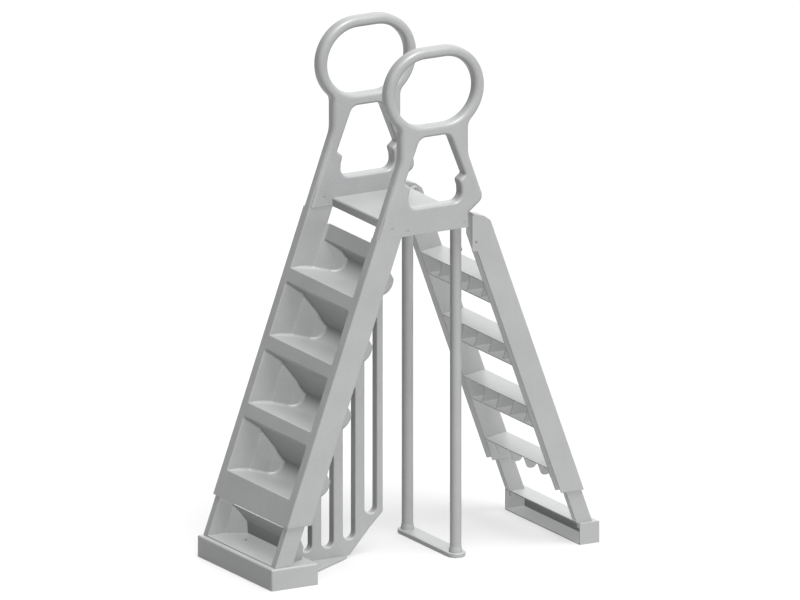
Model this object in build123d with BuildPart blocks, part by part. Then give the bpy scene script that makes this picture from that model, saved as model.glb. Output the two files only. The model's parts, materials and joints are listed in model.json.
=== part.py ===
from build123d import *
import os
from math import cos, radians, sin, tan

# An A-frame ladder for an above-ground pool: a closed-riser stair that stands in the
# pool, an open-tread ladder outside, and a platform between two handrails on top.
# Millimetres. X runs across the ladder, Y from the pool side to the outside, Z up.
# The origin is on the floor, midway between the two feet.

os.makedirs("parts", exist_ok=True)

# Driving dimensions
WIDTH = 580.0
RISE = 254.0              # from tread to tread
BASE_HEIGHT = 84.0        # top of both bases, where the first rise starts
LEAN = 20.0               # of both flights, in degrees from the vertical
STAIR_FOOT = 736.0        # where the stair's front plane meets the floor, from the middle
LADDER_FOOT = 730.0       # the same for the outer ladder
WALL = 4.0                # moulded resin
FRONT_WALL = 5.0
GAP = 1.0                 # running clearance between telescoping sections
TRAVEL = 51.0             # how far each section extends downwards
DECK_BOTTOM = 1320.0
DECK_TOP = 1354.0
PANEL_BOTTOM = 1324.0

HALF = WIDTH / 2
SLOPE = tan(radians(LEAN))
UP_STAIR = (0, sin(radians(LEAN)), cos(radians(LEAN)))
SIDES = (-1, 1)
SIDE_NAMES = {-1: "left", 1: "right"}

# Stair rails and pockets
RAIL_INNER = 241.5        # half of the clear opening between the rails
RAIL_DEPTH = 105.0        # measured level, along Y
RAIL_BOTTOM = 238.0
POCKET_HEIGHT = 204.0
POCKET_SLOPE = (152.0, -25.0)     # a pocket's corners, along Y and Z from its nose
POCKET_BACK = (213.0, 28.0)
POCKET_SHOULDER = (194.0, 57.0)
POCKET_BROW = (145.0, 152.0)
TOP_BROW = (146.0, 96.0)  # the same corner in the top pocket, which ends at the deck
TOP_BACK = 192.4
POCKET_MOUTH = 40.0       # how far a pocket's outline starts ahead of its nose
BACK_HALF = 190.0         # half of a pocket's width at its back
BACK_CORNER = 15.0
SIDE_DEPTH = 157.0        # where its side walls end, in the plan below
PLAN_DEPTH = 215.0
PLAN_DROP = 60.0          # the plan lies this far below the tread
PLAN_HEIGHT = 420.0
POCKET_ROUND = 12.0
RAIL_ROUND = 7.0
OPENING_ROUND = 4.0
LIP_TOP = 1253.0          # the top pocket's walls end here, below the deck
LOWER_INNER = RAIL_INNER + WALL + GAP
LOWER_OUTER = 278.0
LOWER_FRONT = FRONT_WALL + WALL
LOWER_BACK = 85.0
LOWER_TOP = 600.0

# Pool base, barrier fin and foot
BASE_FRONT = -717.0
BASE_DEPTH = 205.0
BASE_BACK = BASE_FRONT + BASE_DEPTH
FIN_THICKNESS = 38.0
FIN_BACK = -77.0
FIN_TOP = 1150.0
FOOT_THICKNESS = 11.0

# Outer ladder
OUTER_INNER = 242.0
OUTER_DEPTH = 102.0
OUTER_BOTTOM = 217.0
OUTER_RISE = 259.0        # from tread to tread
TREAD_DROP = 14.0         # how far a tread falls towards the pool
HINGE_Y = 200.0
HINGE_Z = 1338.0
OUTER_BASE_BACK = 718.0
OUTER_BASE_DEPTH = 88.0

TREADS = [BASE_HEIGHT + RISE * n for n in range(1, 5)]
TOP_TREAD = TREADS[-1]
OUTER_TREADS = [TOP_TREAD - OUTER_RISE * n for n in range(3, -1, -1)]

# Middle legs
LEG_X = 187.0
LEG_Y = 145.0
LEG_DIAMETER = 44.0
POST_DIAMETER = 38.0
COLLAR_BOTTOM = 1292.0
FOOT_PLATE_THICKNESS = 17.0

# Screws
SCREW = 6.0
HEAD = 10.0
HEAD_HEIGHT = 2.5
PILOT = SCREW / 2 + 0.1   # radius of a screw's hole
RECESS = HEAD / 2 + 0.2   # radius of the recess for its head


def stair(z, inset=0.0):
    """Y of the stair's front plane at height z, or of a plane behind it by inset."""
    return -STAIR_FOOT + SLOPE * z + inset


def ladder(z, inset=0.0):
    """Y of the outer ladder's front plane at height z, or of one inside it by inset."""
    return LADDER_FOOT - SLOPE * z - inset


def ladder_z(y):
    """Height at which the outer ladder's front plane is at y."""
    return (LADDER_FOOT - y) / SLOPE


def outline(plane, *points):
    """The flat face inside a closed outline on plane."""
    with BuildSketch(plane) as face:
        with BuildLine():
            Polyline(*points, close=True)
        make_face()
    return face.sketch


def side_face(x, *points):
    """An outline in the side view, given as (y, z), on the plane at x."""
    return outline(Plane.YZ.offset(x), *points)


def stair_strip(bottom, top, front, back):
    """Side-view points of a strip that leans with the stair."""
    return (
        (stair(bottom, front), bottom),
        (stair(bottom, back), bottom),
        (stair(top, back), top),
        (stair(top, front), top),
    )


def ladder_strip(bottom, top, front, back):
    """Side-view points of a strip that leans with the outer ladder."""
    return (
        (ladder(bottom, front), bottom),
        (ladder(top, front), top),
        (ladder(top, back), top),
        (ladder(bottom, back), bottom),
    )


def finish(part, name):
    """Label a finished piece and write it as its own file."""
    part.label = name
    export_step(part, f"parts/{name}.step")


def screws(name, places, length, head=HEAD, shank=SCREW):
    """A set of pan-head screws: each place is the plane of its head's underside."""
    with BuildPart() as group:
        for place in places:
            with BuildSketch(place):
                Circle(head / 2)
            extrude(amount=HEAD_HEIGHT)
            with BuildSketch(place):
                Circle(shank / 2)
            extrude(amount=-length)
    finish(group.part, name)


def sideways(x, y, z, side):
    """A plane at (x, y, z) that faces out on the given side."""
    return Plane(origin=(side * x, y, z), x_dir=(0, 1, 0), z_dir=(side, 0, 0))


def behind_front(edge):
    """How far an edge's middle lies behind the stair's front plane, along Y."""
    return edge.center().Y - stair(edge.center().Z)


def front_edges(builder):
    """The edges of a piece in progress that lie in the stair's front plane."""
    return [edge for edge in builder.edges() if abs(behind_front(edge)) < 0.5]


# ---- Stair shell: two channel rails, front bands and four closed pockets ----


def pocket_points(tread):
    """Side-view corners of a pocket behind the front plane, from its nose up its back."""
    nose = stair(tread)
    corners = {"floor": POCKET_SLOPE, "back": POCKET_BACK, "shoulder": POCKET_SHOULDER,
               "brow": TOP_BROW if tread == TOP_TREAD else POCKET_BROW}
    points = {name: (nose + y, tread + z) for name, (y, z) in corners.items()}
    points["nose"] = (nose, tread)
    if tread == TOP_TREAD:
        points["top"] = (nose + TOP_BACK, DECK_BOTTOM)
    else:
        points["top"] = (stair(tread + POCKET_HEIGHT), tread + POCKET_HEIGHT)
    points["front"] = (nose - POCKET_MOUTH, points["top"][1])
    return points


def pocket(tread, grow=0.0):
    """The space in a pocket, or the outside of its walls when grow is their thickness."""
    p = pocket_points(tread)
    below_front = (p["front"][0], tread)
    plan_z = tread - PLAN_DROP
    f = stair(plan_z)
    with BuildPart() as space:
        with BuildSketch(Plane.YZ.offset(-RAIL_INNER - grow)):
            with BuildLine():
                Polyline(below_front, p["nose"], p["floor"])
                TangentArc(p["floor"], p["back"], tangent=POCKET_SLOPE)
                Polyline(p["back"], p["shoulder"], p["brow"], p["top"], p["front"], below_front)
            make_face()
            if grow:
                offset(amount=grow, kind=Kind.INTERSECTION)
        extrude(amount=2 * (RAIL_INNER + grow))
        with BuildSketch(Plane.XY.offset(plan_z)) as plan:
            with BuildLine():
                Polyline(
                    (-RAIL_INNER, f - POCKET_MOUTH),
                    (-RAIL_INNER, f + RAIL_DEPTH - 2),
                    (-BACK_HALF, f + SIDE_DEPTH),
                    (-BACK_HALF + BACK_CORNER, f + PLAN_DEPTH),
                    (BACK_HALF - BACK_CORNER, f + PLAN_DEPTH),
                    (BACK_HALF, f + SIDE_DEPTH),
                    (RAIL_INNER, f + RAIL_DEPTH - 2),
                    (RAIL_INNER, f - POCKET_MOUTH),
                    close=True,
                )
            make_face()
            if grow:
                offset(amount=grow, kind=Kind.INTERSECTION)
        extrude(amount=PLAN_HEIGHT, dir=UP_STAIR, mode=Mode.INTERSECT)
        corners = [e for e in space.edges() if abs(e.center().X) > 100 and behind_front(e) > 2]
        fillet(corners, POCKET_ROUND + grow / 2)
    return space.part


POCKET_SKINS = [pocket(tread, WALL) for tread in TREADS]
POCKET_SPACES = [pocket(tread) for tread in TREADS]

with BuildPart() as ahead_of_stair:
    with BuildSketch(Plane.YZ.offset(-HALF - 50)):
        with BuildLine():
            Polyline(
                (stair(0, -400), 0), (stair(0), 0), (stair(1500), 1500), (stair(1500, -400), 1500),
                close=True,
            )
        make_face()
    extrude(amount=WIDTH + 100)

with BuildPart() as above_lip:
    with Locations((0, -250, LIP_TOP)):
        Box(WIDTH, 300, 200, align=(Align.CENTER, Align.CENTER, Align.MIN))

with BuildPart() as stair_shell:
    for skin in POCKET_SKINS:
        add(skin)
    add(above_lip.part, mode=Mode.SUBTRACT)
    extrude(side_face(-RAIL_INNER, *stair_strip(RAIL_BOTTOM, TOP_TREAD, 0, FRONT_WALL)),
            amount=2 * RAIL_INNER)
    for side in SIDES:
        rail = side_face(side * RAIL_INNER, *stair_strip(RAIL_BOTTOM, PANEL_BOTTOM, 0, RAIL_DEPTH))
        extrude(rail, amount=side * (HALF - RAIL_INNER))
        tenon = side_face(side * (RAIL_INNER + 0.5), *stair_strip(PANEL_BOTTOM - 20, 1400, 6, 95))
        extrude(tenon, amount=side * 42.5)
    add(ahead_of_stair.part, mode=Mode.SUBTRACT)
    for space in POCKET_SPACES:
        add(space, mode=Mode.SUBTRACT)
    rail_corners = [e for e in front_edges(stair_shell) if abs(e.center().X) > HALF - 1]
    fillet(rail_corners, RAIL_ROUND)
    band_edges = [e for e in front_edges(stair_shell)
                  if abs(e.center().X) < 1 and RAIL_BOTTOM + 5 < e.center().Z < PANEL_BOTTOM - 5]
    opening_sides = [e for e in front_edges(stair_shell)
                     if abs(abs(e.center().X) - RAIL_INNER) < 0.1 and e.length > 150]
    fillet(band_edges + opening_sides, OPENING_ROUND)
    for side in SIDES:
        channel = side_face(
            side * (RAIL_INNER + WALL),
            *stair_strip(RAIL_BOTTOM - 10, PANEL_BOTTOM - WALL, FRONT_WALL, RAIL_DEPTH + 150),
        )
        extrude(channel, amount=side * (HALF - RAIL_INNER - 2 * WALL), mode=Mode.SUBTRACT)
        hollow = side_face(
            side * (RAIL_INNER + WALL),
            *stair_strip(PANEL_BOTTOM - 30, 1410, 6 + WALL, 110),
        )
        extrude(hollow, amount=side * 35, mode=Mode.SUBTRACT)

# ---- Handrail panels ----

RING_CENTRE = (3.0, 1878.0)
RING_LENGTH = 431.0
RING_HEIGHT = 346.0
RING_SECTION = 42.0
PANEL_INNER = 236.0
PANEL_THICKNESS = HALF - PANEL_INNER
NECK_HALF = 149.0
PANEL_BACK = 150.5
RIM = 18.0
WINDOW_RIM = 11.0
WINDOW_HALF = 135.0       # the window lies within these bounds in the side view
WINDOW_BOTTOM = 1428.0
WINDOW_TOP = 1703.0

PANEL_SCREW_PLACES = ((-123.0, 1344.0), (127.0, 1344.0))
TENON_SCREW_PLACE = (-190.0, 1362.0)


def nearest(vertices, y, z):
    """The vertex of a side-view sketch that is nearest to (y, z)."""
    return vertices.sort_by(lambda v: (v.X - y) ** 2 + (v.Y - z) ** 2)[0]


def panel_outline():
    """The handrail's outer edge in the side view: plate, neck and ring."""
    neck_z = (STAIR_FOOT - NECK_HALF) / SLOPE
    with BuildSketch() as face:
        with BuildLine():
            Polyline(
                (stair(PANEL_BOTTOM), PANEL_BOTTOM),
                (-NECK_HALF, neck_z),
                (-NECK_HALF, 1760),
                (NECK_HALF, 1760),
                (NECK_HALF, neck_z),
                (-stair(1428), 1428),
                (PANEL_BACK, 1378),
                (PANEL_BACK, PANEL_BOTTOM),
                close=True,
            )
        make_face()
        with Locations(RING_CENTRE):
            SlotOverall(RING_LENGTH, RING_HEIGHT)
        for y, z, radius in (
            (-NECK_HALF, 1744, 45), (NECK_HALF, 1740, 45),
            (-NECK_HALF, neck_z, 120), (NECK_HALF, neck_z, 120),
            (-stair(1428), 1428, 36), (PANEL_BACK, 1378, 12),
        ):
            fillet(nearest(face.vertices(), y, z), radius)
    return face.sketch


def window_outline():
    """The window in the panel, with a small knob on each side that narrows it."""
    with BuildSketch() as face:
        with BuildLine():
            Polyline(
                (-64, 1702), (-131, 1532), (-106, 1512), (-114, 1484), (-118, 1429),
                (118, 1429), (114, 1484), (106, 1512), (131, 1532), (64, 1702),
                close=True,
            )
        make_face()
        for side in SIDES:
            for y, z, radius in ((64, 1702, 36), (131, 1532, 7), (106, 1512, 12), (118, 1429, 34)):
                fillet(nearest(face.vertices(), side * y, z), radius)
    return face.sketch


def handrail(side):
    """One side panel with its window, neck and oval grip ring."""
    plane = Plane(origin=(side * PANEL_INNER, 0, 0), x_dir=(0, 1, 0), z_dir=(1, 0, 0))
    outer = panel_outline()
    window = window_outline()
    with BuildPart() as panel:
        extrude(plane * outer, amount=side * PANEL_THICKNESS)
        with BuildSketch(plane):
            with Locations(RING_CENTRE):
                SlotOverall(RING_LENGTH - 2 * RING_SECTION, RING_HEIGHT - 2 * RING_SECTION)
        extrude(amount=side * PANEL_THICKNESS, mode=Mode.SUBTRACT)
        faces = panel.faces().filter_by(Axis.X)
        loops = [edge for edge in faces.edges()
                 if edge.center().Z > PANEL_BOTTOM + 1
                 and not (edge.center().Z < 1378 and abs(edge.center().Y - PANEL_BACK) < 1)]
        fillet(loops, RIM)
        extrude(plane * window, amount=side * PANEL_THICKNESS, mode=Mode.SUBTRACT)
        faces = panel.faces().filter_by(Axis.X)
        rim = [edge for edge in faces.edges()
               if abs(edge.center().Y) < WINDOW_HALF and WINDOW_BOTTOM < edge.center().Z < WINDOW_TOP]
        fillet(rim, WINDOW_RIM)
        # the socket that takes the top of the stair rail
        pocket_face = side_face(
            side * (PANEL_INNER + 5),
            (stair(PANEL_BOTTOM - 1, 5.5), PANEL_BOTTOM - 1),
            (PANEL_BACK - 8, PANEL_BOTTOM - 1),
            (PANEL_BACK - 8, 1404),
            (stair(1404, 5.5), 1404),
        )
        extrude(pocket_face, amount=side * 44, mode=Mode.SUBTRACT)
        for y, z in PANEL_SCREW_PLACES + (TENON_SCREW_PLACE,):
            with BuildSketch(sideways(HALF, y, z, side)):
                Circle(PILOT)
            extrude(amount=-PANEL_THICKNESS, mode=Mode.SUBTRACT)
            with BuildSketch(sideways(HALF, y, z, side)):
                Circle(RECESS)
            extrude(amount=-HEAD_HEIGHT, mode=Mode.SUBTRACT)
    return panel.part


for side in SIDES:
    finish(handrail(side), f"handrail_{SIDE_NAMES[side]}")

# ---- Deck, leg collars and posts ----

DECK_FRONT = -155.0
DECK_BACK = 178.0
DECK_HALF = PANEL_INNER - 0.3
DECK_HEIGHT = DECK_TOP - DECK_BOTTOM
LUG_RADIUS = 16.0
PIN_RADIUS = 6.0
PIN_FIT = 0.1

with BuildPart() as deck:
    with Locations((0, (DECK_FRONT + DECK_BACK) / 2, DECK_BOTTOM)):
        Box(2 * DECK_HALF, DECK_BACK - DECK_FRONT, DECK_HEIGHT,
            align=(Align.CENTER, Align.CENTER, Align.MIN))
    fillet(deck.edges().filter_by(Axis.X).group_by(Axis.Z)[-1], 8)
    # hollow below, with ribs between the cells
    cell_x = (2 * DECK_HALF - 5 * WALL) / 4
    cell_y = (DECK_BACK - DECK_FRONT - 4 * WALL) / 3
    with Locations((0, (DECK_FRONT + DECK_BACK) / 2, DECK_BOTTOM)):
        with GridLocations(cell_x + WALL, cell_y + WALL, 4, 3):
            Box(cell_x, cell_y, DECK_HEIGHT - 5, align=(Align.CENTER, Align.CENTER, Align.MIN),
                mode=Mode.SUBTRACT)
    # seats that the leg collars are screwed to
    for side in SIDES:
        with Locations((side * LEG_X, LEG_Y, DECK_BOTTOM)):
            Box(76, 62, DECK_HEIGHT - 3, align=(Align.CENTER, Align.CENTER, Align.MIN))
    # lugs at the back corners that carry the hinge pins
    for side in SIDES:
        with BuildSketch(sideways(DECK_HALF - 20, 0, 0, side)):
            with Locations((HINGE_Y, side * HINGE_Z)):
                Circle(LUG_RADIUS)
            with BuildLine():
                Polyline(
                    (DECK_BACK - 10, side * DECK_BOTTOM),
                    (HINGE_Y, side * (HINGE_Z - LUG_RADIUS)),
                    (HINGE_Y, side * (HINGE_Z + LUG_RADIUS)),
                    (DECK_BACK - 10, side * (DECK_TOP - 8)),
                    close=True,
                )
            make_face()
        extrude(amount=20)
    for side in SIDES:
        # pin bores, post bores and screw pilots
        with BuildSketch(sideways(DECK_HALF - 21, 0, 0, side)):
            with Locations((HINGE_Y, side * HINGE_Z)):
                Circle(PIN_RADIUS)
        extrude(amount=30, mode=Mode.SUBTRACT)
        with Locations((side * LEG_X, LEG_Y, DECK_BOTTOM - 1)):
            Cylinder(POST_DIAMETER / 2 + 0.1, 26, align=(Align.CENTER, Align.CENTER, Align.MIN),
                     mode=Mode.SUBTRACT)
        for y, z in PANEL_SCREW_PLACES:
            with BuildSketch(sideways(DECK_HALF, y, z, side)):
                Circle(PILOT)
            extrude(amount=-12, mode=Mode.SUBTRACT)

COLLAR_SCREWS = 27.0
collar_screw_places = []
for side in SIDES:
    with BuildPart() as collar:
        with BuildSketch(Plane.XY.offset(COLLAR_BOTTOM)):
            with Locations((side * LEG_X, LEG_Y)):
                Circle(LEG_DIAMETER / 2)
        extrude(amount=DECK_BOTTOM - COLLAR_BOTTOM)
        with BuildSketch(Plane.XY.offset(DECK_BOTTOM - 6)):
            with Locations((side * LEG_X, LEG_Y)):
                RectangleRounded(72, 52, 12)
        extrude(amount=6)
        with BuildSketch(Plane.XY.offset(COLLAR_BOTTOM)):
            with Locations((side * LEG_X, LEG_Y)):
                Circle(POST_DIAMETER / 2 + 0.1)
        extrude(amount=DECK_BOTTOM - COLLAR_BOTTOM, mode=Mode.SUBTRACT)
        for offset_x in (-COLLAR_SCREWS - 2, COLLAR_SCREWS + 2):
            with BuildSketch(Plane.XY.offset(DECK_BOTTOM - 6)):
                with Locations((side * LEG_X + offset_x, LEG_Y)):
                    Circle(PILOT)
            extrude(amount=6, mode=Mode.SUBTRACT)
            collar_screw_places.append(
                Plane(origin=(side * LEG_X + offset_x, LEG_Y, DECK_BOTTOM - 6), z_dir=(0, 0, -1))
            )
    finish(collar.part, f"leg_collar_{SIDE_NAMES[side]}")

with BuildPart() as pilots:
    for place in collar_screw_places:
        with BuildSketch(place):
            Circle(PILOT)
        extrude(amount=-25)

with BuildPart() as drilled_deck:
    add(deck.part)
    add(pilots.part, mode=Mode.SUBTRACT)

finish(drilled_deck.part, "deck")
screws("collar_screws", collar_screw_places, 24)

panel_screw_places = [sideways(HALF - HEAD_HEIGHT, y, z, side)
                      for side in SIDES for y, z in PANEL_SCREW_PLACES]
screws("deck_screws", panel_screw_places, 62)
tenon_screw_places = [sideways(HALF - HEAD_HEIGHT, *TENON_SCREW_PLACE, side) for side in SIDES]
screws("rail_screws", tenon_screw_places, 44)

for side in SIDES:
    with BuildPart() as post:
        with BuildSketch(Plane.XY.offset(900)):
            with Locations((side * LEG_X, LEG_Y)):
                Circle(POST_DIAMETER / 2)
                Circle(POST_DIAMETER / 2 - 2, mode=Mode.SUBTRACT)
        extrude(amount=DECK_BOTTOM + 25 - 900)
    finish(post.part, f"leg_post_{SIDE_NAMES[side]}")

    with BuildPart() as pin:
        with BuildSketch(sideways(DECK_HALF - 23, HINGE_Y, HINGE_Z, side)):
            Circle(PIN_RADIUS)
        extrude(amount=55)
        with BuildSketch(sideways(DECK_HALF - 23, HINGE_Y, HINGE_Z, side)):
            Circle(PIN_RADIUS + 4)
        extrude(amount=-4)
    finish(pin.part, f"hinge_pin_{SIDE_NAMES[side]}")

# ---- Middle legs ----

FOOT_PLATE_LENGTH = 450.0
FOOT_PLATE_WIDTH = 75.0
BOOT_HEIGHT = 20.0

with BuildPart() as foot_plate:
    with BuildSketch():
        with Locations((0, LEG_Y)):
            SlotOverall(FOOT_PLATE_LENGTH, FOOT_PLATE_WIDTH)
    extrude(amount=FOOT_PLATE_THICKNESS)
    fillet(foot_plate.edges().group_by(Axis.Z)[-1], 5)
    fillet(foot_plate.edges().group_by(Axis.Z)[0], 2)
    for side in SIDES:
        with Locations((side * LEG_X, LEG_Y, 0)):
            Cylinder(PILOT, 60, mode=Mode.SUBTRACT)
            Cylinder(RECESS, 2 * (HEAD_HEIGHT + 1), mode=Mode.SUBTRACT)
finish(foot_plate.part, "leg_foot_plate")

clamp_places = []
for side in SIDES:
    with BuildPart() as boot:
        with BuildSketch(Plane.XY.offset(FOOT_PLATE_THICKNESS)):
            with Locations((side * LEG_X, LEG_Y)):
                Circle(LEG_DIAMETER / 2 + 5)
        extrude(amount=BOOT_HEIGHT, taper=11)
        with BuildSketch(Plane.XY.offset(FOOT_PLATE_THICKNESS + 6)):
            with Locations((side * LEG_X, LEG_Y)):
                Circle(LEG_DIAMETER / 2)
        extrude(amount=BOOT_HEIGHT, mode=Mode.SUBTRACT)
        with Locations((side * LEG_X, LEG_Y, FOOT_PLATE_THICKNESS)):
            Cylinder(PILOT, 60, mode=Mode.SUBTRACT)
    finish(boot.part, f"leg_boot_{SIDE_NAMES[side]}")

    with BuildPart() as tube:
        with BuildSketch(Plane.XY.offset(FOOT_PLATE_THICKNESS + 6)):
            with Locations((side * LEG_X, LEG_Y)):
                Circle(LEG_DIAMETER / 2)
                Circle(POST_DIAMETER / 2 + 0.5, mode=Mode.SUBTRACT)
        extrude(amount=COLLAR_BOTTOM - 0.5 - FOOT_PLATE_THICKNESS - 6)
        with BuildSketch(Plane.XZ.offset(-LEG_Y)):
            with Locations((side * LEG_X, 1210)):
                Circle(PILOT)
        extrude(amount=-40, mode=Mode.SUBTRACT)
    clamp_places.append(Plane(origin=(side * LEG_X, LEG_Y + LEG_DIAMETER / 2, 1210),
                              z_dir=(0, 1, 0)))
    finish(tube.part, f"leg_tube_{SIDE_NAMES[side]}")

screws("boot_screws", [Plane(origin=(side * LEG_X, LEG_Y, HEAD_HEIGHT + 1), z_dir=(0, 0, -1))
                       for side in SIDES], 26)
screws("leg_clamp_screws", clamp_places, 2.4, head=16)

# ---- Lower stair section: rails and fifth pocket ----

FLOOR_TOP = BASE_HEIGHT + WALL
FIFTH_BACK = ((-542.0, FLOOR_TOP), (-541.0, 132.0), (-561.0, 165.0), (-588.0, 198.0))
LOWER_RAIL_FRONT_WALL = 4.0
FIFTH_TOP = (-600.0, 212.0)
FIFTH_FRONT = -800.0
FIFTH_PLAN = ((LOWER_INNER, LOWER_BACK - 2), (206.0, 162.0), (200.0, 190.0))
SLOT_BOTTOM = 290.0
CLAMP_INSET = 50.0


def fifth_pocket(grow=0.0):
    """The space of the lowest pocket, or the outside of its walls."""
    f = stair(BASE_HEIGHT)
    with BuildPart() as space:
        with BuildSketch(Plane.YZ.offset(-LOWER_OUTER)):
            with BuildLine():
                Polyline((FIFTH_FRONT, FLOOR_TOP), *FIFTH_BACK, FIFTH_TOP,
                         (FIFTH_FRONT, FIFTH_TOP[1]), close=True)
            make_face()
            if grow:
                offset(amount=grow, kind=Kind.INTERSECTION)
        extrude(amount=2 * LOWER_OUTER)
        with BuildSketch(Plane.XY.offset(BASE_HEIGHT)):
            with BuildLine():
                left = [(-x, f + depth) for x, depth in FIFTH_PLAN]
                right = [(x, f + depth) for x, depth in reversed(FIFTH_PLAN)]
                Polyline((-LOWER_INNER, f - 90), *left, *right, (LOWER_INNER, f - 90), close=True)
            make_face()
            if grow:
                offset(amount=grow, kind=Kind.INTERSECTION)
        extrude(amount=200, dir=UP_STAIR, mode=Mode.INTERSECT)
    return space.part


fifth_skin = fifth_pocket(WALL)
fifth_space = fifth_pocket()

with BuildPart() as lip_cut:
    with Locations((0, -650, 200)):
        Box(WIDTH, 400, 100, align=(Align.CENTER, Align.CENTER, Align.MIN))
    with Locations((0, -650, BASE_HEIGHT)):
        Box(WIDTH, 400, 100, align=(Align.CENTER, Align.CENTER, Align.MAX))

with BuildPart() as lower_shell:
    add(fifth_skin)
    add(lip_cut.part, mode=Mode.SUBTRACT)
    for side in SIDES:
        rail = side_face(side * LOWER_INNER,
                         *stair_strip(BASE_HEIGHT, LOWER_TOP, LOWER_FRONT, LOWER_BACK))
        extrude(rail, amount=side * (LOWER_OUTER - LOWER_INNER))
    add(ahead_of_stair.part.translate((0, LOWER_FRONT, 0)), mode=Mode.SUBTRACT)
    add(fifth_space, mode=Mode.SUBTRACT)
    for side in SIDES:
        channel = side_face(
            side * (LOWER_INNER + WALL),
            *stair_strip(BASE_HEIGHT + 6, LOWER_TOP + 10,
                         LOWER_FRONT + LOWER_RAIL_FRONT_WALL, LOWER_BACK + 60),
        )
        extrude(channel, amount=side * (LOWER_OUTER - LOWER_INNER - 2 * WALL), mode=Mode.SUBTRACT)
        # slot that the clamp bolt slides in
        slot = side_face(side * (LOWER_INNER - 1), *stair_strip(
            SLOT_BOTTOM - 5, SLOT_BOTTOM + TRAVEL + 5, CLAMP_INSET - 4, CLAMP_INSET + 4))
        extrude(slot, amount=side * (WALL + 2), mode=Mode.SUBTRACT)

# screws that hold the section down on its base
base_screw_places = []
for side in SIDES:
    for inset in (30, 66):
        base_screw_places.append(Plane(
            origin=(side * (LOWER_INNER + LOWER_OUTER) / 2, stair(BASE_HEIGHT, inset),
                    BASE_HEIGHT + 6), z_dir=(0, 0, 1)))
for x in (-120, 120):
    base_screw_places.append(Plane(origin=(x, -600, FLOOR_TOP), z_dir=(0, 0, 1)))

with BuildPart() as base_pilots:
    for place in base_screw_places:
        with BuildSketch(place):
            Circle(PILOT)
        extrude(amount=-24)

with BuildPart() as drilled_lower_shell:
    add(lower_shell.part)
    add(base_pilots.part, mode=Mode.SUBTRACT)
finish(drilled_lower_shell.part, "pool_lower_shell")
screws("base_screws", base_screw_places, 22)

# ---- Pool base, barrier foot and fin ----

BASE_WALL = 5.0
CELLS_X = 5
TAB = 34.0                # how far the foot plate reaches in under the base

with BuildPart() as pool_base:
    with Locations((0, (BASE_FRONT + BASE_BACK) / 2, 0)):
        Box(WIDTH, BASE_DEPTH, BASE_HEIGHT, align=(Align.CENTER, Align.CENTER, Align.MIN))
    fillet(pool_base.edges().filter_by(Axis.Z), 8)
    fillet(pool_base.edges().group_by(Axis.Z)[-1], 7)
    cell = (WIDTH - (CELLS_X + 1) * BASE_WALL) / CELLS_X
    cell_depth = (BASE_DEPTH - 3 * BASE_WALL) / 2
    with Locations((0, (BASE_FRONT + BASE_BACK) / 2, 0)):
        with GridLocations(cell + BASE_WALL, cell_depth + BASE_WALL, CELLS_X, 2):
            Box(cell, cell_depth, BASE_HEIGHT - 8, align=(Align.CENTER, Align.CENTER, Align.MIN),
                mode=Mode.SUBTRACT)
    # bosses under the screws
    for place in base_screw_places:
        with Locations((place.origin.X, place.origin.Y, BASE_HEIGHT - 30)):
            Cylinder(8, 26, align=(Align.CENTER, Align.CENTER, Align.MIN))
    for x in (-120, 0, 120):
        with Locations((x, BASE_BACK - 18, FOOT_THICKNESS + 0.3)):
            Cylinder(9, BASE_HEIGHT - FOOT_THICKNESS - 4,
                     align=(Align.CENTER, Align.CENTER, Align.MIN))
    # room for the foot plate's tab
    with Locations((0, BASE_BACK - TAB, 0)):
        Box(2 * 185.5, TAB + 10, FOOT_THICKNESS + 0.3,
            align=(Align.CENTER, Align.MIN, Align.MIN), mode=Mode.SUBTRACT)
    add(base_pilots.part, mode=Mode.SUBTRACT)
    for x in (-120, 0, 120):
        with Locations((x, BASE_BACK - 18, 0)):
            Cylinder(PILOT, 36, align=(Align.CENTER, Align.CENTER, Align.MIN),
                     mode=Mode.SUBTRACT)
finish(pool_base.part, "pool_base")

FIN_SCREWS = (-480.0, -400.0, -300.0)
TAB_SCREWS = ((-120.0, BASE_BACK - 18), (0.0, BASE_BACK - 18), (120.0, BASE_BACK - 18))

with BuildPart() as barrier_foot:
    with BuildSketch():
        with BuildLine():
            Polyline((-185, BASE_BACK), (-185, BASE_BACK - TAB + 1), (185, BASE_BACK - TAB + 1),
                     (185, BASE_BACK))
            Spline((185, BASE_BACK), (130, -418), (57, -294), (0, -227), (-57, -294),
                   (-130, -418), (-185, BASE_BACK))
        make_face()
    extrude(amount=FOOT_THICKNESS)
    top = barrier_foot.edges().group_by(Axis.Z)[-1]
    fillet(top.filter_by(GeomType.BSPLINE), 3)
    for x, y in TAB_SCREWS + tuple((0.0, y) for y in FIN_SCREWS):
        with Locations((x, y, 0)):
            Cylinder(PILOT, 40, mode=Mode.SUBTRACT)
            Cylinder(RECESS, 2 * (HEAD_HEIGHT + 1), mode=Mode.SUBTRACT)
finish(barrier_foot.part, "barrier_foot")

FIN_CLEARANCE = 212.0     # behind the stair's front plane, clear of the moving pockets
SLOT_WIDTH = 52.0
FIN_EDGE = ((FIN_BACK, 164.0), (-132.0, 111.0), (-196.0, 40.0), (-222.0, FOOT_THICKNESS))
FIN_SLOTS = ((-131.0, 162.0), (-225.5, 72.0), (-320.0, 52.0), (-414.5, 48.0))

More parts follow.
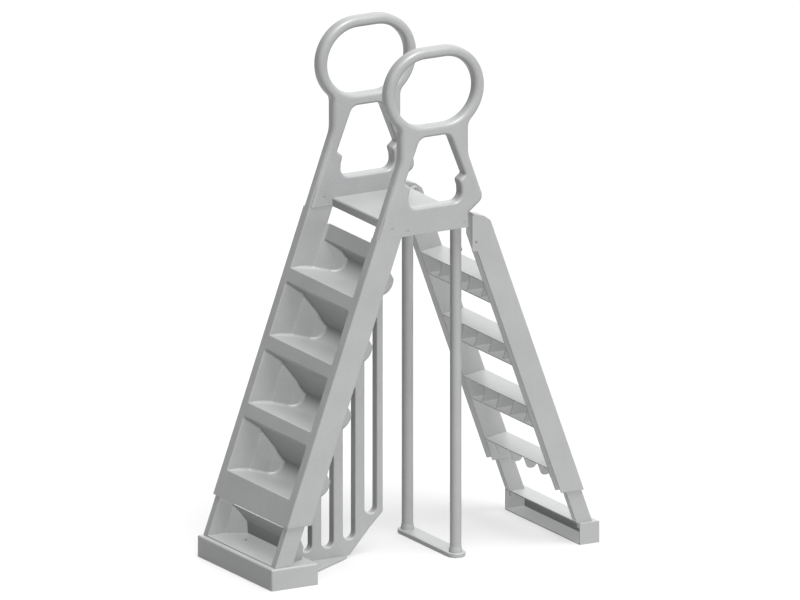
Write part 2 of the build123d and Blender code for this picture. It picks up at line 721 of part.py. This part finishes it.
with BuildPart() as fin:
    knee_z = (BASE_BACK + 0.5 - stair(0, FIN_CLEARANCE)) / SLOPE
    top_y = stair(FIN_TOP, FIN_CLEARANCE)
    extrude(side_face(
        -FIN_THICKNESS / 2,
        (BASE_BACK + 0.5, FOOT_THICKNESS), (BASE_BACK + 0.5, knee_z), (top_y, FIN_TOP),
        (FIN_BACK, FIN_TOP), *FIN_EDGE,
    ), amount=FIN_THICKNESS)
    for y, bottom in FIN_SLOTS:
        top_z = (y - SLOT_WIDTH / 2 - stair(0, FIN_CLEARANCE)) / SLOPE - 62
        with BuildSketch(Plane.YZ.offset(-FIN_THICKNESS / 2)):
            with Locations((y, (bottom + top_z) / 2)):
                SlotOverall(top_z - bottom, SLOT_WIDTH, rotation=90)
        extrude(amount=FIN_THICKNESS, mode=Mode.SUBTRACT)
    sides = fin.faces().filter_by(Axis.X)
    fillet([e for e in sides.edges() if e.center().Z > FOOT_THICKNESS + 1], 5)
    for y in FIN_SCREWS:
        with Locations((0, y, 0)):
            Cylinder(PILOT, 2 * 34, mode=Mode.SUBTRACT)
finish(fin.part, "barrier_fin")
screws("foot_screws", [Plane(origin=(x, y, HEAD_HEIGHT + 1), z_dir=(0, 0, -1))
                       for x, y in TAB_SCREWS], 30)
screws("fin_screws", [Plane(origin=(0, y, HEAD_HEIGHT + 1), z_dir=(0, 0, -1))
                      for y in FIN_SCREWS], 30)

CLAMP_PLACES = [
    Plane(origin=(side * RAIL_INNER, stair(SLOT_BOTTOM, CLAMP_INSET), SLOT_BOTTOM),
          x_dir=(0, 1, 0), z_dir=(-side, 0, 0))
    for side in SIDES
]
screws("pool_height_bolts", CLAMP_PLACES, 14, head=14)

with BuildPart() as drilled_stair_shell:
    add(stair_shell.part)
    for place in CLAMP_PLACES:
        with BuildSketch(place):
            Circle(PILOT)
        extrude(amount=-(WALL + 0.5), mode=Mode.SUBTRACT)
    for place in tenon_screw_places:
        with BuildSketch(place):
            Circle(PILOT)
        extrude(amount=-46, mode=Mode.SUBTRACT)
finish(drilled_stair_shell.part, "pool_step_shell")

# ---- Outer ladder, upper section ----

EAR_EDGE = 160.0
EAR_BOTTOM = 1223.0
LOCK_HOLE = (177.0, 1259.0)
OUTER_WIDTH = HALF - OUTER_INNER
TREAD_BOX = 92.0          # height of a boxed tread at its open side
TREAD_WALL = 5.0
RIB_X = (-165.0, -55.0, 55.0, 165.0)
RIB_DROP = 46.0
RIB_WIDTH = 56.0
END_RIB_WIDTH = 90.0
RIB_ROUND = 18.0
GUSSET_INSET = 52.0       # a gusset's upright edge, measured behind the outer face
GUSSET_FLARE = 55.0       # height over which the gusset spreads onto the floor of its box
SCREW_DROP = 28.0
OUTER_CLAMP_Z = 250.0
OUTER_CLAMP_INSET = 45.0
OUTER_LOWER_INNER = OUTER_INNER + WALL + GAP
OUTER_LOWER_OUTER = 277.0
OUTER_LOWER_FRONT = 8.0
OUTER_LOWER_BACK = 75.0
OUTER_LOWER_TOP = 560.0

EAR_TOP = ((ladder(1335), 1335.0), (213.0, 1359.0), (169.0, 1372.0), (EAR_EDGE, 1360.0))


def tread_screw_places(side):
    """Places of the screws that hold the treads, with their heads inside the rail."""
    places = []
    for tread in OUTER_TREADS:
        for inset in (28, 62):
            z = tread - SCREW_DROP
            places.append(Plane(
                origin=(side * (OUTER_INNER + WALL - HEAD_HEIGHT), ladder(z, inset), z),
                x_dir=(0, 1, 0), z_dir=(side, 0, 0)))
    return places


def outer_rail(side):
    """One U-channel rail, open towards the pool, with its ear and hinge boss."""
    full = (
        (ladder(OUTER_BOTTOM), OUTER_BOTTOM),
        *EAR_TOP,
        (EAR_EDGE, ladder_z(EAR_EDGE + OUTER_DEPTH)),
        (ladder(OUTER_BOTTOM, OUTER_DEPTH), OUTER_BOTTOM),
    )
    with BuildPart() as rail:
        extrude(side_face(side * OUTER_INNER, *full), amount=side * OUTER_WIDTH)
        front = rail.edges().filter_by(lambda e: abs(e.center().Y - ladder(e.center().Z)) < 0.5
                                       and e.length > 500)
        fillet(front, 7)
        # the channel: a front wall and two thin sides, closed at the top
        extrude(side_face(
            side * (OUTER_INNER + WALL),
            (ladder(OUTER_BOTTOM - 5, FRONT_WALL), OUTER_BOTTOM - 5),
            (ladder(1330, FRONT_WALL), 1330),
            (211, 1355), (140, 1355 + 17), (60, 1355), (60, 1100),
            (ladder(OUTER_BOTTOM - 5, 160), OUTER_BOTTOM - 5),
        ), amount=side * (OUTER_WIDTH - 2 * WALL), mode=Mode.SUBTRACT)
        # the ear is the outer wall carried on past the channel
        extrude(side_face(
            side * (HALF - WALL), (EAR_EDGE, EAR_BOTTOM), (EAR_EDGE, 1360),
            (230, 1345), (230, EAR_BOTTOM),
        ), amount=side * WALL)
        with BuildSketch(sideways(OUTER_INNER, HINGE_Y, HINGE_Z, side)):
            Circle(14)
        extrude(amount=30)
        with BuildSketch(sideways(OUTER_INNER - 1, HINGE_Y, HINGE_Z, side)):
            Circle(PIN_RADIUS + PIN_FIT)
        extrude(amount=28, mode=Mode.SUBTRACT)
        with BuildSketch(sideways(HALF - WALL - 1, *LOCK_HOLE, side)):
            Circle(5)
        extrude(amount=WALL + 2, mode=Mode.SUBTRACT)
        for place in tread_screw_places(side):
            with BuildSketch(place):
                Circle(PILOT)
            extrude(amount=-WALL, mode=Mode.SUBTRACT)
            with BuildSketch(place):
                Circle(RECESS)
            extrude(amount=WALL, mode=Mode.SUBTRACT)
        clamp = sideways(OUTER_INNER - 1, ladder(OUTER_CLAMP_Z, OUTER_CLAMP_INSET),
                         OUTER_CLAMP_Z, side)
        with BuildSketch(clamp):
            Circle(PILOT)
        extrude(amount=WALL + 2, mode=Mode.SUBTRACT)
    return rail.part


def on_tread(tread, inset, below=0.0):
    """Side-view point behind the outer face, on a plane that lies below a tread's sloping top."""
    z = tread - TREAD_DROP * inset / OUTER_DEPTH - below
    return ladder(z, inset), z


def tread_section(tread, boxed):
    """Side view of a tread: a sloping plate, and for a boxed one a riser and a floor too."""
    floor = tread - TREAD_DROP - TREAD_BOX
    top = on_tread(tread, 0)
    corner = on_tread(tread, TREAD_WALL, TREAD_WALL)
    plate = (top, on_tread(tread, OUTER_DEPTH), on_tread(tread, OUTER_DEPTH, TREAD_WALL), corner)
    if boxed:
        foot = (ladder(floor + TREAD_WALL, TREAD_WALL), floor + TREAD_WALL)
        rest = (foot, (ladder(floor + TREAD_WALL, OUTER_DEPTH), floor + TREAD_WALL),
                (ladder(floor, OUTER_DEPTH), floor), (ladder(floor), floor))
    else:
        rest = (on_tread(tread, TREAD_WALL, 12), on_tread(tread, 0, 12))
    with BuildSketch() as section:
        with BuildLine():
            Polyline(*plate, *rest, close=True)
        make_face()
        fillet(nearest(section.vertices(), *top), 4)
        if boxed:
            fillet(nearest(section.vertices(), *corner), 8)
            fillet(nearest(section.vertices(), *foot), 12)
    return section.sketch


def hanging_rib(tread, width):
    """Side view of a tab under a tread: it leans with the ladder and its bottom is round."""
    back, top = on_tread(tread, OUTER_DEPTH, 3)
    bottom = top - RIB_DROP
    with BuildSketch() as rib:
        with BuildLine():
            Polyline((back, top), (back + SLOPE * RIB_DROP, bottom), (back + width, bottom),
                     on_tread(tread, OUTER_DEPTH - width, 3), close=True)
        make_face()
        fillet(rib.vertices().group_by(Axis.Y)[0], RIB_ROUND)
    return rib.sketch


def gusset(tread):
    """Side view of a gusset in a boxed tread: upright above, and spread out onto the floor."""
    floor = tread - TREAD_DROP - TREAD_BOX + TREAD_WALL / 2
    upright, under = on_tread(tread, GUSSET_INSET, TREAD_WALL / 2)
    foot = (ladder(floor, OUTER_DEPTH - 1), floor)
    with BuildSketch() as web:
        with BuildLine():
            Polyline(foot, (ladder(floor, 1), floor), on_tread(tread, 1, TREAD_WALL / 2),
                     (upright, under), (upright, floor + GUSSET_FLARE))
            TangentArc((upright, floor + GUSSET_FLARE), foot, tangent=(0, -1))
        make_face()
    return web.sketch


def outer_tread(number, tread):
    """A moulded tread, open towards the pool; the lowest has no riser and no floor."""
    boxed = number > 1
    length = 2 * (OUTER_INNER - 0.3)
    ends = (-length / 2 + WALL / 2, length / 2 - WALL / 2)
    with BuildPart() as step:
        extrude(Plane.YZ.offset(-length / 2) * tread_section(tread, boxed), amount=length)
        if boxed:
            bottom = tread - TREAD_DROP - TREAD_BOX
            end_wall = outline(Plane.XY, on_tread(tread, 3), on_tread(tread, OUTER_DEPTH),
                               (ladder(bottom, OUTER_DEPTH), bottom), (ladder(bottom, 3), bottom))
            webs = [(x, gusset(tread)) for x in RIB_X] + [(x, end_wall) for x in ends]
        else:
            webs = [(x, hanging_rib(tread, RIB_WIDTH)) for x in RIB_X]
            webs += [(x, hanging_rib(tread, END_RIB_WIDTH)) for x in ends]
        for x, web in webs:
            extrude(Plane.YZ.offset(x - WALL / 2) * web, amount=WALL)
        for side in SIDES:
            for place in tread_screw_places(side):
                if place.origin.Z == tread - SCREW_DROP:
                    with BuildSketch(place):
                        Circle(PILOT)
                    extrude(amount=-16, mode=Mode.SUBTRACT)
    return step.part


for side in SIDES:
    finish(outer_rail(side), f"outer_rail_{SIDE_NAMES[side]}")
for number, tread in enumerate(OUTER_TREADS, start=1):
    finish(outer_tread(number, tread), f"outer_tread_{number}")
screws("tread_screws", [p for side in SIDES for p in tread_screw_places(side)], 13)

# ---- Outer ladder, lower section ----

outer_foot_places = []
for side in SIDES:
    with BuildPart() as lower_rail:
        extrude(side_face(side * OUTER_LOWER_INNER, *ladder_strip(
            BASE_HEIGHT, OUTER_LOWER_TOP, OUTER_LOWER_FRONT, OUTER_LOWER_BACK)),
            amount=side * (OUTER_LOWER_OUTER - OUTER_LOWER_INNER))
        extrude(side_face(side * (OUTER_LOWER_INNER + 3.5), *ladder_strip(
            BASE_HEIGHT + 6, OUTER_LOWER_TOP + 10, OUTER_LOWER_FRONT + 4, OUTER_LOWER_BACK + 40)),
            amount=side * (OUTER_LOWER_OUTER - OUTER_LOWER_INNER - 7), mode=Mode.SUBTRACT)
        extrude(side_face(side * (OUTER_LOWER_INNER - 1), *ladder_strip(
            OUTER_CLAMP_Z - 5, OUTER_CLAMP_Z + TRAVEL + 5,
            OUTER_CLAMP_INSET - 4, OUTER_CLAMP_INSET + 4)),
            amount=side * 5.5, mode=Mode.SUBTRACT)
        for inset in (24, 58):
            place = Plane(
                origin=(side * (OUTER_LOWER_INNER + OUTER_LOWER_OUTER) / 2,
                        ladder(BASE_HEIGHT, inset), BASE_HEIGHT + 6), z_dir=(0, 0, 1))
            outer_foot_places.append(place)
            with BuildSketch(place):
                Circle(PILOT)
            extrude(amount=-8, mode=Mode.SUBTRACT)
    finish(lower_rail.part, f"outer_lower_rail_{SIDE_NAMES[side]}")

with BuildPart() as outer_base:
    with Locations((0, OUTER_BASE_BACK - OUTER_BASE_DEPTH / 2, 0)):
        Box(WIDTH, OUTER_BASE_DEPTH, BASE_HEIGHT, align=(Align.CENTER, Align.CENTER, Align.MIN))
    outside = outer_base.faces().sort_by(Axis.Y)[-1]
    fillet(outside.edges().filter_by(Axis.Z) + outside.edges().group_by(Axis.Z)[-1], 6)
    with Locations((0, OUTER_BASE_BACK - 5, WALL)):
        Box(WIDTH - 10, OUTER_BASE_DEPTH, BASE_HEIGHT - 5 - WALL,
            align=(Align.CENTER, Align.MAX, Align.MIN), mode=Mode.SUBTRACT)
    for place in outer_foot_places:
        with Locations((place.origin.X, place.origin.Y, BASE_HEIGHT - 22)):
            Cylinder(8, 18, align=(Align.CENTER, Align.CENTER, Align.MIN))
    for place in outer_foot_places:
        with BuildSketch(place):
            Circle(PILOT)
        extrude(amount=-24, mode=Mode.SUBTRACT)
finish(outer_base.part, "outer_base")
screws("outer_base_screws", outer_foot_places, 22)
screws("outer_height_bolts", [
    Plane(origin=(side * OUTER_INNER, ladder(OUTER_CLAMP_Z, OUTER_CLAMP_INSET), OUTER_CLAMP_Z),
          x_dir=(0, 1, 0), z_dir=(-side, 0, 0)) for side in SIDES], 12, head=14)
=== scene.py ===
import json
import math

import bpy
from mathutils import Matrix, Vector

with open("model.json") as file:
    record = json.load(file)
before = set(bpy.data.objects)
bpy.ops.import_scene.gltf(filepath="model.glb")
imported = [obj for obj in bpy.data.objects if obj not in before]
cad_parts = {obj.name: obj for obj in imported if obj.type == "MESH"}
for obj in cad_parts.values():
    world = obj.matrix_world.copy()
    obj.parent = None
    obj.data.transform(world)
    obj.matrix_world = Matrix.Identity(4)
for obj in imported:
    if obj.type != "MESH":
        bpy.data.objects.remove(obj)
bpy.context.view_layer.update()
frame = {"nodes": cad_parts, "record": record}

# An A-frame pool ladder moulded in light grey resin, on a pale floor in soft light.
# Metres, Z up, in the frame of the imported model.

NODES = frame["nodes"]

# Camera: a parallel view, a little above the ladder and well round to its right side.
AZIMUTH = 60.6
ELEVATION = 15.6
VIEW_WIDTH = 3.048
VIEW_TARGET = Vector((0.0, 0.007, 0.984))
VIEW_DISTANCE = 9.0

# Base colours, as linear values. The resin's allows for the strong light on it.
RESIN_COLOUR = (0.272, 0.274, 0.276)
STEEL_COLOUR = (0.42, 0.425, 0.43)
ALUMINIUM_COLOUR = (0.70, 0.71, 0.72)

# Resin: how far in from an edge the wear reaches, and how round edges are shaded.
WEAR_RADIUS = 0.0035
WEAR_AMOUNT = 0.30
EDGE_ROUND = 0.0022
BEVEL_SAMPLES = 4

# Light. Each lamp has a name, the direction it comes from, its strength, its width in
# degrees, and whether it casts shadows. The fill casts none, which keeps hollows light.
SURROUND_STRENGTH = 0.20
LAMPS = (
    ("key", (0.38, 0.02, 0.92), 2.2, 40, True),
    ("fill", (0.56, 0.05, 0.83), 4.4, 12, False),
    ("back", (-0.66, 0.56, 0.50), 1.2, 60, True),
)
LAMP_DISTANCE = 8.0

FLOOR_SIZE = 60.0
FLOOR_DROP = 0.0005       # the floor lies this far under the feet, so the faces don't meet
FLOOR_GREY = 0.49


# ---- Node helpers ----


class Tree:
    """A material's node tree, with short calls for what every material here needs."""

    def __init__(self, name):
        self.material = bpy.data.materials.new(name)
        self.material.use_nodes = True
        self.nodes = self.material.node_tree.nodes
        self.links = self.material.node_tree.links
        self.shader = self.nodes["Principled BSDF"]
        self.coords = self.nodes.new("ShaderNodeTexCoord").outputs["Object"]

    def join(self, source, target):
        self.links.new(source, target)

    def noise(self, scale, detail=3.0, stretch=(1, 1, 1), distortion=0.0):
        """Noise over the object's own coordinates, drawn out along the small stretches."""
        mapping = self.nodes.new("ShaderNodeMapping")
        mapping.inputs["Scale"].default_value = stretch
        self.join(self.coords, mapping.inputs["Vector"])
        texture = self.nodes.new("ShaderNodeTexNoise")
        texture.inputs["Scale"].default_value = scale
        texture.inputs["Detail"].default_value = detail
        texture.inputs["Distortion"].default_value = distortion
        self.join(mapping.outputs["Vector"], texture.inputs["Vector"])
        return texture.outputs["Fac"]

    def between(self, value, low, high, from_low=0.0, from_high=1.0):
        """A value moved from one range to another."""
        node = self.nodes.new("ShaderNodeMapRange")
        node.inputs["From Min"].default_value = from_low
        node.inputs["From Max"].default_value = from_high
        node.inputs["To Min"].default_value = low
        node.inputs["To Max"].default_value = high
        self.join(value, node.inputs["Value"])
        return node.outputs["Result"]

    def ramp(self, value, low_colour, high_colour, low=0.3, high=0.7):
        """Two colours, mixed by a value."""
        node = self.nodes.new("ShaderNodeValToRGB")
        first, last = node.color_ramp.elements
        first.position, last.position = low, high
        first.color = (*low_colour, 1)
        last.color = (*high_colour, 1)
        self.join(value, node.inputs["Fac"])
        return node.outputs["Color"]

    def mix(self, factor, first, second):
        """Two colour sockets, or a socket and a colour, mixed by a factor."""
        node = self.nodes.new("ShaderNodeMix")
        node.data_type = "RGBA"
        self.join(factor, node.inputs["Factor"])
        for source, name in ((first, "A"), (second, "B")):
            if isinstance(source, tuple):
                node.inputs[name].default_value = (*source, 1)
            else:
                self.join(source, node.inputs[name])
        return node.outputs["Result"]

    def rounded_normal(self, radius):
        """The surface normal with its edges rounded off."""
        bevel = self.nodes.new("ShaderNodeBevel")
        bevel.samples = BEVEL_SAMPLES
        bevel.inputs["Radius"].default_value = radius
        return bevel.outputs["Normal"]

    def edge_mask(self, radius):
        """1 on a convex or concave edge, falling to 0 at about radius from it."""
        rounded = self.rounded_normal(radius)
        geometry = self.nodes.new("ShaderNodeNewGeometry")
        dot = self.nodes.new("ShaderNodeVectorMath")
        dot.operation = "DOT_PRODUCT"
        self.join(rounded, dot.inputs[0])
        self.join(geometry.outputs["Normal"], dot.inputs[1])
        return self.between(dot.outputs["Value"], 1.0, 0.0, 0.90, 0.995)

    def bump(self, height, strength, distance, base=None):
        """A bumped normal; base is a normal to build on."""
        node = self.nodes.new("ShaderNodeBump")
        node.inputs["Strength"].default_value = strength
        node.inputs["Distance"].default_value = distance
        self.join(height, node.inputs["Height"])
        if base is not None:
            self.join(base, node.inputs["Normal"])
        return node.outputs["Normal"]


def shade(colour, amount):
    """A colour made lighter or darker."""
    return tuple(min(1.0, c * amount) for c in colour)


# ---- Materials ----


def resin(name):
    """Moulded resin: satin grain, faint mottling and flow streaks, and lighter, worn edges."""
    tree = Tree(name)
    colour = RESIN_COLOUR
    mottle = tree.noise(5.0, 5.0, (1, 1, 1.3), 0.4)
    body = tree.ramp(mottle, shade(colour, 0.945), shade(colour, 1.035))
    streaks = tree.noise(38.0, 3.0, (1, 1, 0.12))
    streaked = tree.mix(tree.between(streaks, 0.0, 0.28, 0.45, 0.8), body, shade(colour, 0.90))
    speckle = tree.noise(290.0, 3.0)
    speckled = tree.mix(tree.between(speckle, 0.0, 0.50, 0.48, 0.72), streaked, shade(colour, 1.26))
    wear = tree.between(tree.edge_mask(WEAR_RADIUS), 0.0, WEAR_AMOUNT)
    worn = tree.mix(wear, speckled, shade(colour, 1.22))
    tree.join(worn, tree.shader.inputs["Base Color"])

    grain = tree.noise(1100.0, 3.0)
    waves = tree.noise(9.0, 2.0)
    wavy = tree.bump(waves, 0.10, 0.004, tree.rounded_normal(EDGE_ROUND))
    tree.join(tree.bump(grain, 0.12, 0.0006, wavy), tree.shader.inputs["Normal"])
    tree.join(tree.between(mottle, 0.34, 0.50, 0.3, 0.7), tree.shader.inputs["Roughness"])
    tree.shader.inputs["Specular IOR Level"].default_value = 0.45
    return tree.material


def steel(name):
    """Dull stainless steel, brushed by its tumbling and a little stained by pool water."""
    tree = Tree(name)
    stain = tree.noise(160.0, 4.0)
    tree.join(tree.ramp(stain, shade(STEEL_COLOUR, 0.72), shade(STEEL_COLOUR, 1.15)),
              tree.shader.inputs["Base Color"])
    brush = tree.noise(900.0, 2.0, (1, 0.15, 1))
    tree.join(tree.between(brush, 0.26, 0.48), tree.shader.inputs["Roughness"])
    tree.join(tree.bump(brush, 0.15, 0.0002), tree.shader.inputs["Normal"])
    tree.shader.inputs["Metallic"].default_value = 1.0
    return tree.material


def aluminium(name):
    """Drawn aluminium tube, with fine lines along it."""
    tree = Tree(name)
    lines = tree.noise(700.0, 3.0, (1, 1, 0.02))
    tree.join(tree.ramp(lines, shade(ALUMINIUM_COLOUR, 0.85), shade(ALUMINIUM_COLOUR, 1.05)),
              tree.shader.inputs["Base Color"])
    tree.join(tree.between(lines, 0.24, 0.42), tree.shader.inputs["Roughness"])
    tree.join(tree.bump(lines, 0.12, 0.0002), tree.shader.inputs["Normal"])
    tree.shader.inputs["Metallic"].default_value = 1.0
    return tree.material


def paint(node, material):
    """Give a CAD node's object the material."""
    slots = NODES[node].material_slots
    for slot in slots:
        slot.material = material
    if not slots:
        NODES[node].data.materials.append(material)


def paint_all():
    """Give every node the material of its slot in the record."""
    finishes = {
        "resin": resin("moulded_resin"),
        "fastener_steel": steel("stainless_steel"),
        "post_aluminium": aluminium("drawn_aluminium"),
    }
    for part in frame["record"]["subparts"]:
        paint(part["node"], finishes[part["material_slot"]])


# ---- Stage: floor, light and camera ----


def make_floor():
    """A plain pale floor."""
    bpy.ops.mesh.primitive_plane_add(size=FLOOR_SIZE, location=(0, 0, -FLOOR_DROP))
    floor = bpy.context.object
    floor.name = "floor"
    material = bpy.data.materials.new("pale_floor")
    material.use_nodes = True
    shader = material.node_tree.nodes["Principled BSDF"]
    shader.inputs["Base Color"].default_value = (FLOOR_GREY, FLOOR_GREY, FLOOR_GREY, 1)
    shader.inputs["Roughness"].default_value = 0.95
    shader.inputs["Specular IOR Level"].default_value = 0.1
    floor.data.materials.append(material)


def aim(holder, location, target):
    """Place a light or a camera and turn it to a point."""
    holder.location = location
    holder.rotation_euler = (Vector(target) - Vector(location)).to_track_quat("-Z", "Y").to_euler()
    bpy.context.scene.collection.objects.link(holder)


def sun_light(name, direction, strength, spread, shadows):
    """A broad, distant soft light that comes from the given direction."""
    light = bpy.data.lights.new(name, "SUN")
    light.energy = strength
    light.angle = math.radians(spread)
    light.use_shadow = shadows
    aim(bpy.data.objects.new(name, light), Vector(direction) * LAMP_DISTANCE, (0, 0, 0))


def make_lights():
    """A weak white surround and the lamps, with colours shown as they are."""
    bpy.context.scene.view_settings.view_transform = "Standard"
    world = bpy.data.worlds.new("surround")
    bpy.context.scene.world = world
    world.use_nodes = True
    background = world.node_tree.nodes["Background"]
    background.inputs["Color"].default_value = (1, 1, 1, 1)
    background.inputs["Strength"].default_value = SURROUND_STRENGTH
    for lamp in LAMPS:
        sun_light(*lamp)


def make_camera():
    """A parallel camera at the viewing angle."""
    data = bpy.data.cameras.new("camera")
    data.type = "ORTHO"
    data.ortho_scale = VIEW_WIDTH
    data.clip_end = 60
    camera = bpy.data.objects.new("camera", data)
    a, e = math.radians(AZIMUTH), math.radians(ELEVATION)
    back = Vector((math.sin(a) * math.cos(e), -math.cos(a) * math.cos(e), math.sin(e)))
    aim(camera, VIEW_TARGET + back * VIEW_DISTANCE, VIEW_TARGET)
    bpy.context.scene.camera = camera


paint_all()
make_floor()
make_lights()
make_camera()
